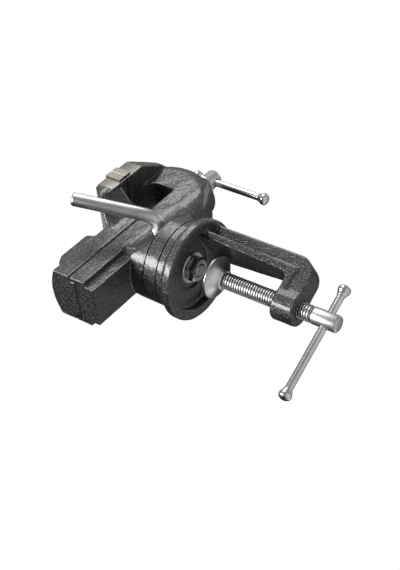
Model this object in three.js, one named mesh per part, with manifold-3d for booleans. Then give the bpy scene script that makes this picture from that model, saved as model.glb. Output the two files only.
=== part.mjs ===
// Clamp-on swivel bench vise. Millimetres, +Z up the swivel axis.
// Origin: centre of the base disc's bench face, on the swivel axis. +X runs toward the clamp's spine.
import * as THREE from 'three';
import Module from 'manifold-3d';

const wasm = await Module();
wasm.setup();

// ---------------------------------------------------------------- driving dimensions
const GAP = 0.3;                 // clearance between neighbouring pieces

const DISC_R = 37.5;             // base disc
const DISC_TOP = 9.3;            // top of the base, where the head turns
const COLLAR_R = 32.6;           // head's turntable
const TURNTABLE_TOP = 26.4;
const RING_Z = 15.5;             // groove round the turntable
const RECESS_R = 29.5;           // hollow in the bench face
const SPIGOT_R = 19.5;           // pivot the head turns on
const SPIGOT_TOP = 17;
const BOLT_R = 5;                // swivel bolt, up the axis
const BOLT_HEAD_R = 9;
const NUT_CORNER_R = 9.6;

const SPINE_IN = 18;             // throat face of the clamp's spine, from the swivel axis
const SPINE_OUT = 33.5;
const SPINE_HALF = 9.5;          // rib half width
const FLANGE_T = 5.6;            // flange across the spine's throat face: thickness and half widths
const FLANGE_TOP_HALF = 21;
const FLANGE_LOW_HALF = 11;
const ARM_TOP = -65.7;           // throat face of the lower arm
const ARM_LOW = -82.5;
const ARM_BEND = 14;             // outer radius where the spine turns into the arm
const BOSS_R = 12.3;             // threaded boss at the arm's end
const BOSS_TOP = -65;
const BOSS_LOW = -83.5;

const SCREW_R = 6;               // both screws
const PITCH = 2;
const THREAD_DEPTH = 0.8;
const CLAMP_HUB_TOP = -93;
const CLAMP_HUB_LOW = -113;
const CLAMP_BAR_Z = -103.5;
const CLAMP_BAR_LONG = 57.5;     // bar reach on each side of the screw
const CLAMP_BAR_SHORT = 23.5;
const CLAMP_BAR_TURN = 3.7;      // degrees from +X
const PAD_R = 15.8;
const PAD_TOP = -12.2;
const BAR_R = 2.8;
const KNOB_R = 4.6;

const HEAD_TURN = 28.4;          // degrees the head is swung from the spine
const REAR_X = -69.6;            // rear end of the body and the sliding jaw
const BODY_HALF = 19.6;          // body half width
const KEEL_HALF = 15.7;          // narrower underside of the body
const KEEL_LOW = 38;
const KEEL_TOP = 46;
const WAY_Z = 59.9;              // sliding surface between body and sliding jaw
const TONGUE_Z = 55.5;           // underside of the sliding jaw's tongue
const TONGUE_HALF = 15.5;
const HOLLOW_HALF = 10.6;        // half width of the hollows round the lead screw and its nut
const CROWN_SIDE = 74.4;         // sliding jaw's back: height at its side and its middle
const CROWN_MID = 79.5;

const JAW_X = 26;                // closing plane of the jaws
const JAW_HALF = 35.5;
const JAW_LOW = 83.5;            // underside of the jaws, over the throat
const JAW_TOP = 98;
const PLATE_T = 6;
const PLATE_HALF = 37;
const PLATE_LOW = 85.2;          // the plates rest on a ledge of each jaw
const THROAT_A = 20;             // throat's walls on the sliding and the fixed side
const THROAT_B = 49.5;
const TRENCH_END = 46;           // front end of the channel the lead nut travels in
const NOSE_X = 83.6;              // front of the fixed jaw's screw boss
const NOSE_R = 10.5;

const LEAD_Z = 60.5;             // lead screw axis
const LEAD_TIP = -60;
const LEAD_HUB_IN = 88;
const LEAD_HUB_END = 100.5;
const LEAD_BAR_X = 94;
const LEAD_BAR_LONG = 50;
const LEAD_BAR_SHORT = 12;

const LOCK_END = [3, -32, 34];   // corner of the lock handle, head axes
const LOCK_TIP = [-26.9, -48.4, 88.3];
const LOCK_AXIS = [0.273, -0.94, -0.202];
const LOCK_R = 4.9;
const LOCK_BEND = [10.5, 14];    // reach of the bend from its corner, toward the stud and the tip
const STUD_R = 2.6;

// ---------------------------------------------------------------- solids
const V = (x, y, z) => new THREE.Vector3(x, y, z);
const rad = THREE.MathUtils.degToRad;

// Weld a geometry into a closed body with its faces outward.
function solid(geometry) {
  const pos = geometry.attributes.position;
  const idx = geometry.index ? geometry.index.array : [...Array(pos.count).keys()];
  const seen = new Map(), verts = [], map = [];
  for (let i = 0; i < pos.count; i++) {
    const p = [pos.getX(i), pos.getY(i), pos.getZ(i)];
    const key = p.map((v) => Math.round(v * 1e4)).join(',');
    if (!seen.has(key)) { seen.set(key, verts.length / 3); verts.push(...p); }
    map.push(seen.get(key));
  }
  const tris = [];
  let volume = 0;
  for (let i = 0; i < idx.length; i += 3) {
    const [a, b, c] = [map[idx[i]], map[idx[i + 1]], map[idx[i + 2]]];
    if (a === b || b === c || a === c) continue;
    tris.push(a, b, c);
    const p = (k) => V(verts[3 * k], verts[3 * k + 1], verts[3 * k + 2]);
    volume += p(a).dot(p(b).cross(p(c)));
  }
  if (volume < 0) {
    for (let i = 0; i < tris.length; i += 3) [tris[i], tris[i + 1]] = [tris[i + 1], tris[i]];
  }
  const mesh = new wasm.Mesh({
    numProp: 3, vertProperties: new Float32Array(verts), triVerts: new Uint32Array(tris),
  });
  return new wasm.Manifold(mesh);
}

// Flat outline from [u, v] points.
const outline = (pts) => new THREE.Shape(pts.map(([u, v]) => new THREE.Vector2(u, v)));

function prism(pts, depth) {
  return new THREE.ExtrudeGeometry(outline(pts), { depth, bevelEnabled: false });
}

// Outline in XY pulled from z0 to z1.
const prismZ = (pts, z0, z1) => solid(prism(pts, z1 - z0).translate(0, 0, z0));
// Outline in XZ pulled from y0 to y1.
const prismY = (pts, y0, y1) => solid(prism(pts, y1 - y0).rotateX(Math.PI / 2).translate(0, y1, 0));
// Outline in YZ pulled from x0 to x1.
const prismX = (pts, x0, x1) => solid(
  prism(pts, x1 - x0).applyMatrix4(new THREE.Matrix4().makeBasis(V(0, 1, 0), V(0, 0, 1), V(1, 0, 0)))
    .translate(x0, 0, 0));

const box = (x0, x1, y0, y1, z0, z1) => solid(
  new THREE.BoxGeometry(x1 - x0, y1 - y0, z1 - z0)
    .translate((x0 + x1) / 2, (y0 + y1) / 2, (z0 + z1) / 2));

// Profile of [radius, height] points turned about Z; starts and ends on the axis.
function turned(profile, sides = 32) {
  const pts = profile.map(([r, h]) => new THREE.Vector2(r, h));
  return new THREE.LatheGeometry(pts, sides).rotateX(Math.PI / 2);
}
const turnedZ = (profile, sides) => solid(turned(profile, sides));
// The same about a line through `at` along `dir`.
function turnedOn(profile, at, dir, sides) {
  const q = new THREE.Quaternion().setFromUnitVectors(V(0, 0, 1), V(...dir).normalize());
  return solid(turned(profile, sides).applyQuaternion(q).translate(...at));
}
const rod = (r, h0, h1) => [[0, h0], [r, h0], [r, h1], [0, h1]];

// Skin through rings of equal length, closed at both ends.
function loft(rings) {
  const n = rings[0].length, verts = [], index = [];
  const centre = (ring) => ring.reduce((s, p) => s.add(p), V(0, 0, 0)).divideScalar(ring.length);
  rings.forEach((ring) => ring.forEach((p) => verts.push(p.x, p.y, p.z)));
  for (let k = 0; k + 1 < rings.length; k++) {
    for (let i = 0; i < n; i++) {
      const j = (i + 1) % n, a = k * n + i, b = k * n + j, c = a + n, d = b + n;
      index.push(a, b, d, a, d, c);
    }
  }
  [[0, rings[0]], [rings.length - 1, rings[rings.length - 1]]].forEach(([k, ring], end) => {
    const c = centre(ring), ci = verts.length / 3;
    verts.push(c.x, c.y, c.z);
    for (let i = 0; i < n; i++) {
      const a = k * n + i, b = k * n + (i + 1) % n;
      index.push(...(end ? [ci, a, b] : [ci, b, a]));
    }
  });
  const g = new THREE.BufferGeometry();
  g.setAttribute('position', new THREE.Float32BufferAttribute(verts, 3));
  g.setIndex(index);
  return solid(g);
}

// Rounded rectangle ring at height z.
function ringZ(x0, x1, half, r, z, steps = 5) {
  const cx = (x0 + x1) / 2, hx = (x1 - x0) / 2, pts = [];
  const rr = Math.min(r, hx, half);
  [[1, 1, 0], [-1, 1, 90], [-1, -1, 180], [1, -1, 270]].forEach(([sx, sy, a0]) => {
    for (let i = 0; i <= steps; i++) {
      const a = rad(a0 + 90 * i / steps);
      pts.push(V(cx + sx * (hx - rr) + rr * Math.cos(a), sy * (half - rr) + rr * Math.sin(a), z));
    }
  });
  return pts;
}

// Threaded length as [radius, height] points: crests and roots repeating at the pitch.
function thread(r, h0, h1) {
  const pts = [[r - THREAD_DEPTH, h0]];
  for (let h = h0 + PITCH * 0.5; h + PITCH * 0.5 <= h1; h += PITCH) {
    pts.push([r, h], [r - THREAD_DEPTH, h + PITCH * 0.5]);
  }
  pts.push([r - THREAD_DEPTH, h1]);
  return pts;
}

// ---------------------------------------------------------------- finishes
const finish = (color, metalness, roughness) => (
  new THREE.MeshStandardMaterial({ color, metalness, roughness }));
const paint = () => finish(0x2b2d2f, 0.35, 0.5);
const ground = () => finish(0x9b9a94, 0.85, 0.4);
const bright = () => finish(0xc9ccd0, 0.95, 0.25);
const dark = () => finish(0x55575a, 0.8, 0.45);

function body(name, shape, material) {
  const m = shape.getMesh();
  const g = new THREE.BufferGeometry();
  g.setAttribute('position', new THREE.BufferAttribute(new Float32Array(m.vertProperties), 3));
  g.setIndex(new THREE.BufferAttribute(new Uint32Array(m.triVerts), 1));
  g.computeVertexNormals();
  const mesh = new THREE.Mesh(g, material);
  mesh.name = name;
  return mesh;
}

// ---------------------------------------------------------------- clamp base
function clampFrame() {
  const disc = turnedZ([
    [0, 9], [14, 9], [15, 8.2], [15, 6], [28.5, 6], [RECESS_R, 5], [RECESS_R, 0], [35.6, 0],
    [36.9, 0.6], [DISC_R, 1.8], [DISC_R, 5.4], [36.8, 6.7], [35.4, 7.9], [COLLAR_R + 0.8, 8.7],
    [COLLAR_R - 0.4, DISC_TOP],
    [SPIGOT_R, DISC_TOP], [SPIGOT_R, SPIGOT_TOP - 0.6], [SPIGOT_R - 0.6, SPIGOT_TOP], [0, SPIGOT_TOP],
  ], 64);
  const corner = [];
  for (let i = 0; i <= 8; i++) {
    const a = rad(-90 * i / 8);
    corner.push([SPINE_OUT - ARM_BEND + ARM_BEND * Math.cos(a), ARM_LOW + ARM_BEND + ARM_BEND * Math.sin(a)]);
  }
  const rib = prismY([[SPINE_IN, 4.5], [SPINE_OUT, 4.5], ...corner, [0, ARM_LOW], [0, ARM_TOP],
    [SPINE_IN - 3, ARM_TOP], [SPINE_IN, ARM_TOP + 3]], -SPINE_HALF, SPINE_HALF);
  const across = (half, z) => ringZ(SPINE_IN, SPINE_IN + FLANGE_T, half, 1.2, z, 2);
  const flange = loft([
    across(FLANGE_LOW_HALF, -72), across(FLANGE_LOW_HALF + 0.5, -62), across(17, -28),
    across(FLANGE_TOP_HALF, 0), across(FLANGE_TOP_HALF, 5),
  ]);
  const ledge = prismY([[2, ARM_TOP], [SPINE_IN - 3, ARM_TOP], [SPINE_IN, ARM_TOP + 3],
    [SPINE_IN + FLANGE_T, ARM_TOP + 3], [SPINE_IN + FLANGE_T, ARM_TOP - 5], [2, ARM_TOP - 5]],
  -FLANGE_LOW_HALF, FLANGE_LOW_HALF);
  const boss = turnedZ([[0, BOSS_LOW], [BOSS_R - 1.2, BOSS_LOW], [BOSS_R, BOSS_LOW + 1.2],
    [BOSS_R, BOSS_TOP - 1], [BOSS_R - 1, BOSS_TOP], [0, BOSS_TOP]], 36);
  const screwHole = turnedZ(rod(SCREW_R + GAP, BOSS_LOW - 5, BOSS_TOP + 5), 28);
  const boltHole = turnedZ(rod(BOLT_R + GAP, -5, SPIGOT_TOP + 5), 24);
  return disc.add(rib).add(flange).add(ledge).add(boss).subtract(screwHole).subtract(boltHole);
}

function swivelBolt() {
  return turnedZ([[0, 0.3], [BOLT_R - 1.1, 0.3], [BOLT_R, 1.4], [BOLT_R, 31], [BOLT_HEAD_R, 31],
    [BOLT_HEAD_R, 36], [BOLT_HEAD_R - 1, 37], [0, 37]], 24);
}

function swivelNut() {
  const hex = [...Array(6).keys()].map((k) => [
    NUT_CORNER_R * Math.cos(rad(60 * k)), NUT_CORNER_R * Math.sin(rad(60 * k))]);
  const bevel = turnedZ([[0, 1], [8.4, 1], [9.7, 2], [9.7, 6.9], [0, 6.9]], 30);
  return prismZ(hex, 1, 6.9).intersect(bevel).subtract(turnedZ(rod(BOLT_R + GAP, 0, 8), 24));
}

const washer = (rOut, rIn, z0, z1) => turnedZ([[0, z0], [rOut, z0], [rOut, z1], [0, z1]], 32)
  .subtract(turnedZ(rod(rIn, z0 - 1, z1 + 1), 24));

function clampScrew() {
  const shank = turnedZ([
    [0, CLAMP_HUB_LOW], [SCREW_R - 0.8, CLAMP_HUB_LOW], [SCREW_R + 0.1, CLAMP_HUB_LOW + 0.8],
    [SCREW_R + 0.1, CLAMP_HUB_TOP - 0.6], [SCREW_R - 0.9, CLAMP_HUB_TOP],
    ...thread(SCREW_R, CLAMP_HUB_TOP, -21.5), [3.4, -21.2], [3.4, -19.2], [4.2, -18.6], [4.4, -17],
    [3.4, -15.6], [0, -15.2]], 24);
  return shank.subtract(turnedOn(rod(BAR_R + GAP, -20, 20), [0, 0, CLAMP_BAR_Z],
    [Math.cos(rad(CLAMP_BAR_TURN)), Math.sin(rad(CLAMP_BAR_TURN)), 0], 20));
}

function clampPad() {
  const shell = turnedZ([[0, PAD_TOP], [PAD_R - 0.8, PAD_TOP], [PAD_R, PAD_TOP - 0.8], [PAD_R, PAD_TOP - 2],
    [PAD_R - 0.7, PAD_TOP - 2.8], [12, -16.4], [9.2, -18.2], [7.6, -20.2], [7.2, -21], [0, -21]], 40);
  const socket = turnedZ([[0, -25], [3.8, -25], [3.8, -19.4], [4.7, -18.8], [4.9, -16.8], [3.8, -15.1],
    [0, -14.8]], 20);
  return shell.subtract(socket);
}

function bar(at, dir, short, long) {
  return turnedOn(rod(BAR_R, -long + 2.5, short - 2.5), at, dir, 20);
}
// Ball knob pressed over a bar's end.
function knob(at, dir, reach) {
  const s = Math.sign(reach);
  const h = (v) => reach + s * v;
  const profile = [[0, h(4.3)], [2.4, h(3.9)], [4, h(2.4)], [KNOB_R, h(0.3)], [4.3, h(-1.8)],
    [3.2, h(-3.6)], [0, h(-4)]];
  const ball = turnedOn(s > 0 ? profile.reverse() : profile, at, dir, 20);
  const socket = rod(BAR_R + 0.02, Math.min(h(-6), h(-2.45)), Math.max(h(-6), h(-2.45)));
  return ball.subtract(turnedOn(socket, at, dir, 20));
}

// ---------------------------------------------------------------- head
// Bore for the lead screw along X.
const leadBore = (r, x0, x1, sides = 28) => turnedOn(rod(r, x0, x1), [0, 0, LEAD_Z], [1, 0, 0], sides);

function headBody() {
  const turntable = turnedZ([
    [0, DISC_TOP + GAP], [COLLAR_R - 0.5, DISC_TOP + GAP], [COLLAR_R, DISC_TOP + 0.8],
    [COLLAR_R, RING_Z - 0.6], [COLLAR_R - 0.7, RING_Z], [COLLAR_R, RING_Z + 0.6],
    [COLLAR_R, TURNTABLE_TOP - 0.6], [COLLAR_R - 0.7, TURNTABLE_TOP], [0, TURNTABLE_TOP]], 64);
  // Round shoulder over the turntable, drawn in at the sides up to the body's width.
  const shoulderSide = [[32.4, 22], [32.4, TURNTABLE_TOP + 0.4], [28.5, 27.6], [25, 29.8], [22.4, 33],
    [20.6, 37], [17, 40]];
  const shoulder = turnedZ(rod(COLLAR_R - 0.3, 22, 40), 64).intersect(prismX(
    [...shoulderSide, ...shoulderSide.map(([y, z]) => [-y, z]).reverse()], -40, 40));
  const neck = loft([
    ringZ(-29.5, 31, 27.5, 26, 24.5, 9), ringZ(-29, 33, 23.8, 20, 28.5, 9), ringZ(-29.5, 37, 21.2, 14, 33, 9),
    ringZ(-30, 44, 20, 9, 38, 9), ringZ(-29, 50, BODY_HALF, 5, 43, 9), ringZ(-27.5, 54, BODY_HALF, 3, 48, 9),
  ]);
  const keel = box(REAR_X, 58, -KEEL_HALF, KEEL_HALF, KEEL_LOW, KEEL_TOP + 1);
  const rails = box(REAR_X, 60, -BODY_HALF, BODY_HALF, KEEL_TOP, WAY_Z);
  // Fixed jaw: a rounded block over the body's end, and the wings that carry the jaw out to its width.
  const block = loft([
    ringZ(28, 50, 15, 10, 30, 6), ringZ(32, 60, 17.5, 11, 35, 6), ringZ(36, 69, 19.2, 12, 41, 6),
    ringZ(24, 75.5, BODY_HALF, 12, 48, 6), ringZ(24, 80, BODY_HALF, 12, 55, 6),
    ringZ(24, 82.4, BODY_HALF, 12, 62, 6),
    ringZ(24, 83, BODY_HALF, 12, 69, 6), ringZ(24, 82.2, BODY_HALF, 12, 76, 6),
    ringZ(24, 79, BODY_HALF, 11, 83, 6), ringZ(24, 73.5, BODY_HALF - 0.5, 9, 88, 6),
  ]);
  const planSide = [[JAW_X, JAW_HALF], [44, JAW_HALF], [46, JAW_HALF - 0.7], [67, 23.5], [74, 16.5], [77, 6]];
  const plan = [...planSide.map(([x, y]) => [x, -y]), ...planSide.reverse()];
  const wings = prismY([[JAW_X, JAW_LOW], [JAW_X, JAW_TOP],
    [42.5, JAW_TOP], [44.5, JAW_TOP - 0.8], [58, 93.4], [70, 88.8], [77, JAW_LOW]], -60, 60)
    .intersect(prismZ(plan, JAW_LOW, JAW_TOP + 1));
  const nose = turnedOn([[0, 58], [19, 58], [19, 74], [17.8, 75.6], [NOSE_R, 76], [NOSE_R, NOSE_X - 1.2],
    [NOSE_R - 1.2, NOSE_X], [0, NOSE_X]], [0, 0, LEAD_Z], [1, 0, 0], 36);
  // Throat under the jaws, arched on the fixed side.
  const arch = [];
  for (let i = 0; i <= 6; i++) {
    const a = rad(90 * i / 6);
    arch.push([THROAT_B - 11 + 11 * Math.cos(a), JAW_LOW - 11 + 11 * Math.sin(a)]);
  }
  const throat = prismY([[JAW_X - 40, WAY_Z], [THROAT_B - 1.5, WAY_Z], [THROAT_B, WAY_Z + 1.5], ...arch,
    [JAW_X - 40, JAW_LOW]], -60, 60);
  const ledge = JAW_X + 2 * GAP;
  const seat = box(0, JAW_X + GAP + PLATE_T, -60, 60, PLATE_LOW - GAP, JAW_TOP + 5)
    .add(box(0, ledge, -60, 60, JAW_LOW - 1, JAW_TOP + 5));
  const slot = box(REAR_X - 5, TRENCH_END, -TONGUE_HALF - GAP, TONGUE_HALF + GAP, TONGUE_Z - GAP, WAY_Z + 5);
  const trench = box(-63, TRENCH_END, -HOLLOW_HALF, HOLLOW_HALF, 49, WAY_Z);
  const boltPocket = turnedZ(rod(BOLT_HEAD_R + 2 * GAP, 30.7, 50), 28);
  const boltHole = turnedZ(rod(BOLT_R + GAP, 5, 32), 24);
  const pivot = turnedZ(rod(SPIGOT_R + GAP, 5, SPIGOT_TOP + GAP), 48);
  // Hole for the lock stud, opened out where the handle's end turns against the body.
  const lock = turnedOn([[0, -2], [LOCK_R + 1, -2], [LOCK_R + 1, 12.6], [STUD_R + GAP, 12.6],
    [STUD_R + GAP, 24], [0, 24]], LOCK_END, LOCK_AXIS.map((v) => -v), 24);
  return turntable.add(shoulder).add(neck).add(keel).add(rails).add(block).add(wings).add(nose)
    .subtract(throat).subtract(seat).subtract(slot).subtract(trench)
    .subtract(boltPocket).subtract(boltHole).subtract(pivot).subtract(lock)
    .subtract(leadBore(SCREW_R + GAP, 40, 90)).subtract(plateScrewHoles(JAW_X + PLATE_T, 1));
}

const PLATE_SCREWS = [-22, 22];
const PLATE_SCREW_Z = 91;
// Tapped holes behind a jaw plate; side is +1 on the fixed jaw, -1 on the sliding one.
function plateScrewHoles(x, side) {
  return PLATE_SCREWS.map((y) => turnedOn(rod(2.8, -2, 9), [x, y, PLATE_SCREW_Z], [side, 0, 0], 16))
    .reduce((a, b) => a.add(b));
}
function jawPlate(side) {
  const x = side > 0 ? JAW_X + GAP : JAW_X - PLATE_T;
  const plate = loft([
    ringZ(x, x + PLATE_T - GAP, PLATE_HALF, 0.8, PLATE_LOW, 2),
    ringZ(x, x + PLATE_T - GAP, PLATE_HALF, 0.8, JAW_TOP + 0.4, 2),
  ]);
  const face = side > 0 ? x : x + PLATE_T - GAP;
  return PLATE_SCREWS.reduce((p, y) => p.subtract(
    turnedOn([[0, -1], [4.6, -1], [4.6, 2.4], [2.8, 2.8], [2.8, 12], [0, 12]],
      [face, y, PLATE_SCREW_Z], [side, 0, 0], 20)), plate);
}
// Cheese-head screw sunk in a jaw plate, with a driver slot.
function plateScrew(side, y) {
  const face = side > 0 ? JAW_X + GAP : JAW_X - GAP;
  const s = turnedOn([[0, 0.3], [4.2, 0.3], [4.2, 2.2], [2.5, 2.5], [2.5, 13], [0, 13]],
    [face, y, PLATE_SCREW_Z], [side, 0, 0], 18);
  const slot = side > 0 ? [face - 1, face + 1.2] : [face - 1.2, face + 1];
  return s.subtract(box(slot[0], slot[1], y - 6, y + 6, PLATE_SCREW_Z - 0.5, PLATE_SCREW_Z + 0.5));
}

function slidingJaw() {
  const crown = (side, mid, low) => {
    const pts = [[-BODY_HALF, low], [BODY_HALF, low]];
    for (let i = 0; i <= 8; i++) {
      const t = 1 - i / 4;
      pts.push([BODY_HALF * t * (1 - 0.03 * (1 - t * t)), side + (mid - side) * (1 - t * t)]);
    }
    return pts;
  };
  const back = prismX(crown(CROWN_SIDE, CROWN_MID, WAY_Z + GAP), REAR_X, THROAT_A);
  const anvil = prismY([[-64, 70], [-61, 76.8], [-56, 79.6], [-51, 82.6], [-46, 83.6], [-35, 83.6],
    [-30.5, 82.6], [-26.5, 79.5], [-22, 70]], -60, 60)
    .intersect(prismX(crown(80.2, 83.9, WAY_Z + 2), -66, -10));
  const riser = loft([
    ringZ(-16, THROAT_A, BODY_HALF, 3, 62), ringZ(-14, THROAT_A, BODY_HALF + 0.6, 4, 69),
    ringZ(-11, THROAT_A, 23.5, 5, 75), ringZ(-7.5, THROAT_A, 29, 5, 80), ringZ(-4.5, THROAT_A, 33.5, 4, 84),
    ringZ(-1.5, THROAT_A, JAW_HALF, 3, 88), ringZ(5, THROAT_A, JAW_HALF, 2, 94),
    ringZ(8.5, THROAT_A, JAW_HALF, 1.4, JAW_TOP - 0.9), ringZ(9.5, THROAT_A, JAW_HALF - 0.8, 1, JAW_TOP),
  ]);
  const lip = box(6, JAW_X - 2 * GAP, -JAW_HALF, JAW_HALF, JAW_LOW, JAW_TOP - 4);
  const tongue = box(REAR_X, THROAT_A, -TONGUE_HALF, TONGUE_HALF, TONGUE_Z, WAY_Z + GAP + 1);
  const seat = box(JAW_X - PLATE_T - GAP, 60, -60, 60, PLATE_LOW - GAP, JAW_TOP + 5);
  const underJaw = box(THROAT_A, 60, -60, 60, 50, JAW_LOW);
  const cavity = box(-63.6, THROAT_A + 5, -HOLLOW_HALF, HOLLOW_HALF, 50, 71.9);
  return back.add(anvil).add(riser).add(lip).add(tongue)
    .subtract(seat).subtract(underJaw).subtract(cavity)
    .subtract(plateScrewHoles(JAW_X - PLATE_T - GAP, -1));
}

// Nut block held up in the sliding jaw.
const NUT_X0 = -2;
const NUT_X1 = 16;
function leadNut() {
  return box(NUT_X0, NUT_X1, -HOLLOW_HALF + GAP, HOLLOW_HALF - GAP, 50.2, 71.6)
    .subtract(leadBore(SCREW_R + GAP, NUT_X0 - 2, NUT_X1 + 2));
}

function leadScrew() {
  const shaft = turnedOn([[0, LEAD_TIP], [4.2, LEAD_TIP], ...thread(SCREW_R, LEAD_TIP + 1, 45).slice(1),
    [SCREW_R, 46], [SCREW_R, NOSE_X + 2], [8.2, NOSE_X + 2.2], [8.2, LEAD_HUB_IN - 1],
    [SCREW_R + 0.6, LEAD_HUB_IN],
    [SCREW_R + 0.6, LEAD_HUB_END - 0.8], [SCREW_R - 0.4, LEAD_HUB_END], [0, LEAD_HUB_END]],
  [0, 0, LEAD_Z], [1, 0, 0], 20);
  return shaft.subtract(turnedOn(rod(BAR_R + GAP, -20, 20), [LEAD_BAR_X, 0, LEAD_Z], [0, 0, 1], 20));
}
const leadCollar = (r, x0, x1) => turnedOn(rod(r, x0, x1), [0, 0, LEAD_Z], [1, 0, 0], 28)
  .subtract(leadBore(SCREW_R + 0.15, x0 - 1, x1 + 1));

function lockHandle() {
  const corner = V(...LOCK_END), tip = V(...LOCK_TIP), axis = V(...LOCK_AXIS).normalize();
  const leg = tip.clone().sub(corner).normalize();
  const near = corner.clone().addScaledVector(axis, -LOCK_BEND[0]);
  const far = corner.clone().addScaledVector(leg, LOCK_BEND[1]);
  const bend = new THREE.QuadraticBezierCurve3(near, corner, far);
  const stations = [[near.clone().addScaledVector(axis, -0.6), axis, LOCK_R - 0.6], [near, axis, LOCK_R]];
  for (let i = 1; i < 9; i++) stations.push([bend.getPoint(i / 8), bend.getTangent(i / 8), LOCK_R]);
  stations.push([tip.clone().addScaledVector(leg, -1.2), leg, LOCK_R]);
  stations.push([tip, leg, LOCK_R - 1.2]);
  const stud = turnedOn([[0, 9], [STUD_R, 9], [STUD_R, 21], [STUD_R - 0.7, 22], [0, 22]],
    LOCK_END, axis.clone().negate().toArray(), 18);
  return roundBar(stations, axis.clone().cross(leg).normalize()).add(stud);
}
// Round bar bent in one plane, through [centre, direction, radius] stations.
function roundBar(stations, planeNormal, sides = 22) {
  return loft(stations.map(([centre, along, r]) => {
    const up = along.clone().cross(planeNormal).normalize();
    return [...Array(sides).keys()].map((k) => {
      const q = (2 * Math.PI * k) / sides;
      return centre.clone().addScaledVector(planeNormal, r * Math.cos(q))
        .addScaledVector(up, r * Math.sin(q));
    });
  }));
}

// ---------------------------------------------------------------- assembly
const vise = new THREE.Group();
vise.name = 'bench_vise';

const base = new THREE.Group();
base.name = 'base';
const barDir = [Math.cos(rad(CLAMP_BAR_TURN)), Math.sin(rad(CLAMP_BAR_TURN)), 0];
const barAt = [0, 0, CLAMP_BAR_Z];
base.add(
  body('clamp_frame', clampFrame(), paint()),
  body('swivel_bolt', swivelBolt(), bright()),
  body('swivel_washer', washer(11.6, BOLT_R + GAP, 7.2, 8.7), bright()),
  body('swivel_nut', swivelNut(), bright()),
  body('clamp_screw', clampScrew(), bright()),
  body('clamp_pad', clampPad(), bright()),
  body('clamp_bar', bar(barAt, barDir, CLAMP_BAR_SHORT, CLAMP_BAR_LONG), bright()),
  body('clamp_bar_knob_1', knob(barAt, barDir, CLAMP_BAR_SHORT), bright()),
  body('clamp_bar_knob_2', knob(barAt, barDir, -CLAMP_BAR_LONG), bright()),
);

const head = new THREE.Group();
head.name = 'head';
const leadAt = [LEAD_BAR_X, 0, LEAD_Z];
head.add(
  body('head_body', headBody(), paint()),
  body('fixed_jaw_plate', jawPlate(1), ground()),
  body('fixed_plate_screw_1', plateScrew(1, PLATE_SCREWS[0]), dark()),
  body('fixed_plate_screw_2', plateScrew(1, PLATE_SCREWS[1]), dark()),
  body('sliding_jaw', slidingJaw(), paint()),
  body('sliding_jaw_plate', jawPlate(-1), ground()),
  body('sliding_plate_screw_1', plateScrew(-1, PLATE_SCREWS[0]), dark()),
  body('sliding_plate_screw_2', plateScrew(-1, PLATE_SCREWS[1]), dark()),
  body('lead_nut', leadNut(), dark()),
  body('lead_screw', leadScrew(), bright()),
  body('lead_thrust_washer', leadCollar(9.5, NOSE_X + GAP, NOSE_X + 1.7), bright()),
  body('lead_retaining_collar', leadCollar(9.5, TRENCH_END - 5.3, TRENCH_END - GAP), dark()),
  body('lead_bar', bar(leadAt, [0, 0, 1], LEAD_BAR_SHORT, LEAD_BAR_LONG), bright()),
  body('lead_bar_knob_1', knob(leadAt, [0, 0, 1], LEAD_BAR_SHORT), bright()),
  body('lead_bar_knob_2', knob(leadAt, [0, 0, 1], -LEAD_BAR_LONG), bright()),
  body('lock_handle', lockHandle(), bright()),
);
head.rotation.z = rad(HEAD_TURN);
vise.add(base, head);
vise.updateMatrixWorld(true);

export default vise;
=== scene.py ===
"""Clamp-on swivel bench vise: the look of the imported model, with camera, light and floor.

Lengths are written in millimetres and turned into metres when a piece is finished.
Head pieces are made in the head's own axes, +X along the lead screw, and swung into place.
"""
import math

import bmesh
import bpy
from mathutils import Matrix, Vector, noise


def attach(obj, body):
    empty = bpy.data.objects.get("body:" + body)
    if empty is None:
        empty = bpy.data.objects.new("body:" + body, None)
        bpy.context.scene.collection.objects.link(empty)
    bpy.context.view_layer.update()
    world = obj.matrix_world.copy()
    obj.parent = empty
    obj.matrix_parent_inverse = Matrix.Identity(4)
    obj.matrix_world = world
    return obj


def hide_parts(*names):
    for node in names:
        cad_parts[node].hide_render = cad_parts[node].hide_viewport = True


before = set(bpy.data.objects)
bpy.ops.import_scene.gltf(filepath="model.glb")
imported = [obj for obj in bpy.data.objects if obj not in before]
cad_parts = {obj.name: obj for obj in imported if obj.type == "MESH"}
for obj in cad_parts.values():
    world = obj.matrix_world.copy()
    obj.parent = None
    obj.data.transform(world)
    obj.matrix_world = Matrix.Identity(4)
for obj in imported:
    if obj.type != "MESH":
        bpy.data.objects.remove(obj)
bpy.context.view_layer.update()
MM = 0.001

# ------------------------------------------------------------------ driving dimensions

HEAD_TURN = 28.4                       # degrees the head is swung from the clamp's spine
HEAD = Matrix.Rotation(math.radians(HEAD_TURN), 4, "Z")

DISC_R, DISC_TOP = 37.5, 9.3
COLLAR_R, TURNTABLE_TOP, RING_Z = 32.6, 26.4, 15.5   # head's turntable and the groove round it
RECESS_R = 29.5                        # hollow in the bench face
SPIGOT_R, SPIGOT_TOP = 19.5, 17.0      # pivot that the head turns on
BOLT_R, BOLT_THREAD_DEPTH, BOLT_THREAD = 5.0, 0.6, (1.2, 12.0)
BOLT_HEAD_R, BOLT_HEAD_POCKET_R = 9.0, 9.6
NUT_CORNER_R, WASHER_R = 9.6, 11.6
SPINE_IN, SPINE_OUT, SPINE_HALF = 18.0, 33.5, 9.5
FLANGE_T, FLANGE_LOW_HALF = 5.6, 11.0  # flange across the spine's throat face
ARM_TOP, ARM_LOW, ARM_BEND = -65.7, -82.5, 14.0
BOSS_R, BOSS_TOP, BOSS_LOW = 12.3, -65.0, -83.5

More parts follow.
